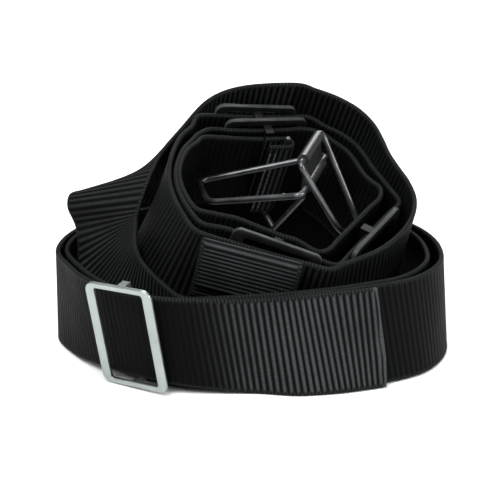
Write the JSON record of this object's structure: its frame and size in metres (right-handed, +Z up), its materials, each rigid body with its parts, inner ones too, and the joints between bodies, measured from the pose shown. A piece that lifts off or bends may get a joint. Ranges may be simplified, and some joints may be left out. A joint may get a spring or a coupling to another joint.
{
  "type": "dive weight belt",
  "caption": "Diver's weight belt of ribbed black webbing rolled up for storage, a low ring with a raised inner coil, weight keepers on the strap and a buckle of hinged wire bails.",
  "frame": {"origin": "middle of the footprint, on the floor plane that the low ring stands on", "axes": "+Z up, the viewer's side with the free end of the strap towards -Y, +X to the right"},
  "size_m": [0.2039, 0.1719, 0.1213],
  "materials": {
    "webbing": "black ribbed nylon webbing",
    "thread": "dark grey bonded thread",
    "bright_steel": "bright satin stainless steel",
    "keeper_plastic": "moulded black nylon, lightly worn",
    "dark_plate": "black coated steel plate",
    "buckle_wire": "darkened stainless wire"
  },
  "bodies": {
    "strap": {"webbing_ring_turns": "webbing", "webbing_rising_turn": "webbing", "webbing_coil_outer_turn": "webbing", "webbing_coil_inner_turns": "webbing", "webbing_end_loop": "webbing", "webbing_folded_tail": "webbing", "end_stitching": "thread", "hinge_plate": "dark_plate", "strap_link_wire": "buckle_wire"},
    "steel_keeper": {"steel_keeper_frame": "bright_steel", "steel_keeper_crossbar": "bright_steel"},
    "back_keeper": {"back_keeper_frame": "keeper_plastic", "back_keeper_crossbar": "keeper_plastic"},
    "inner_keeper": {"inner_keeper_frame": "keeper_plastic", "inner_keeper_crossbar": "keeper_plastic"},
    "front_keeper": {"front_keeper_frame": "keeper_plastic", "front_keeper_crossbar": "keeper_plastic"},
    "side_keeper": {"side_keeper_frame": "keeper_plastic", "side_keeper_crossbar": "keeper_plastic"},
    "long_bail": {"long_bail_wire": "buckle_wire"},
    "short_bail": {"short_bail_wire": "buckle_wire"}
  },
  "joints": [
    {"name": "steel_keeper_slide", "type": "slide", "parent": "strap", "child": "steel_keeper", "axis": [-0.861, 0.5086, 0.002], "range_m": [-0.003, 0.003]},
    {"name": "back_keeper_slide", "type": "slide", "parent": "strap", "child": "back_keeper", "axis": [0.9303, 0.3481, -0.1156], "range_m": [-0.003, 0.003]},
    {"name": "inner_keeper_slide", "type": "slide", "parent": "strap", "child": "inner_keeper", "axis": [0.945, 0.3213, -0.0604], "range_m": [-0.001, 0.002]},
    {"name": "front_keeper_slide", "type": "slide", "parent": "strap", "child": "front_keeper", "axis": [-0.9412, 0.0302, 0.3364], "range_m": [-0.002, 0.002]},
    {"name": "side_keeper_slide", "type": "slide", "parent": "strap", "child": "side_keeper", "axis": [-0.5446, -0.7953, -0.2663], "range_m": [-0.003, 0.001]},
    {"name": "long_bail_hinge", "type": "hinge", "parent": "strap", "child": "long_bail", "pos_m": [0.03214, 0.00405, 0.08653], "axis": [0.278, 0.9532, 0.1191], "range_deg": [-40, 0]},
    {"name": "short_bail_hinge", "type": "hinge", "parent": "strap", "child": "short_bail", "pos_m": [0.03026, 0.00275, 0.10135], "axis": [0.278, 0.9532, 0.1191], "range_deg": [0, 8]}
  ]
}
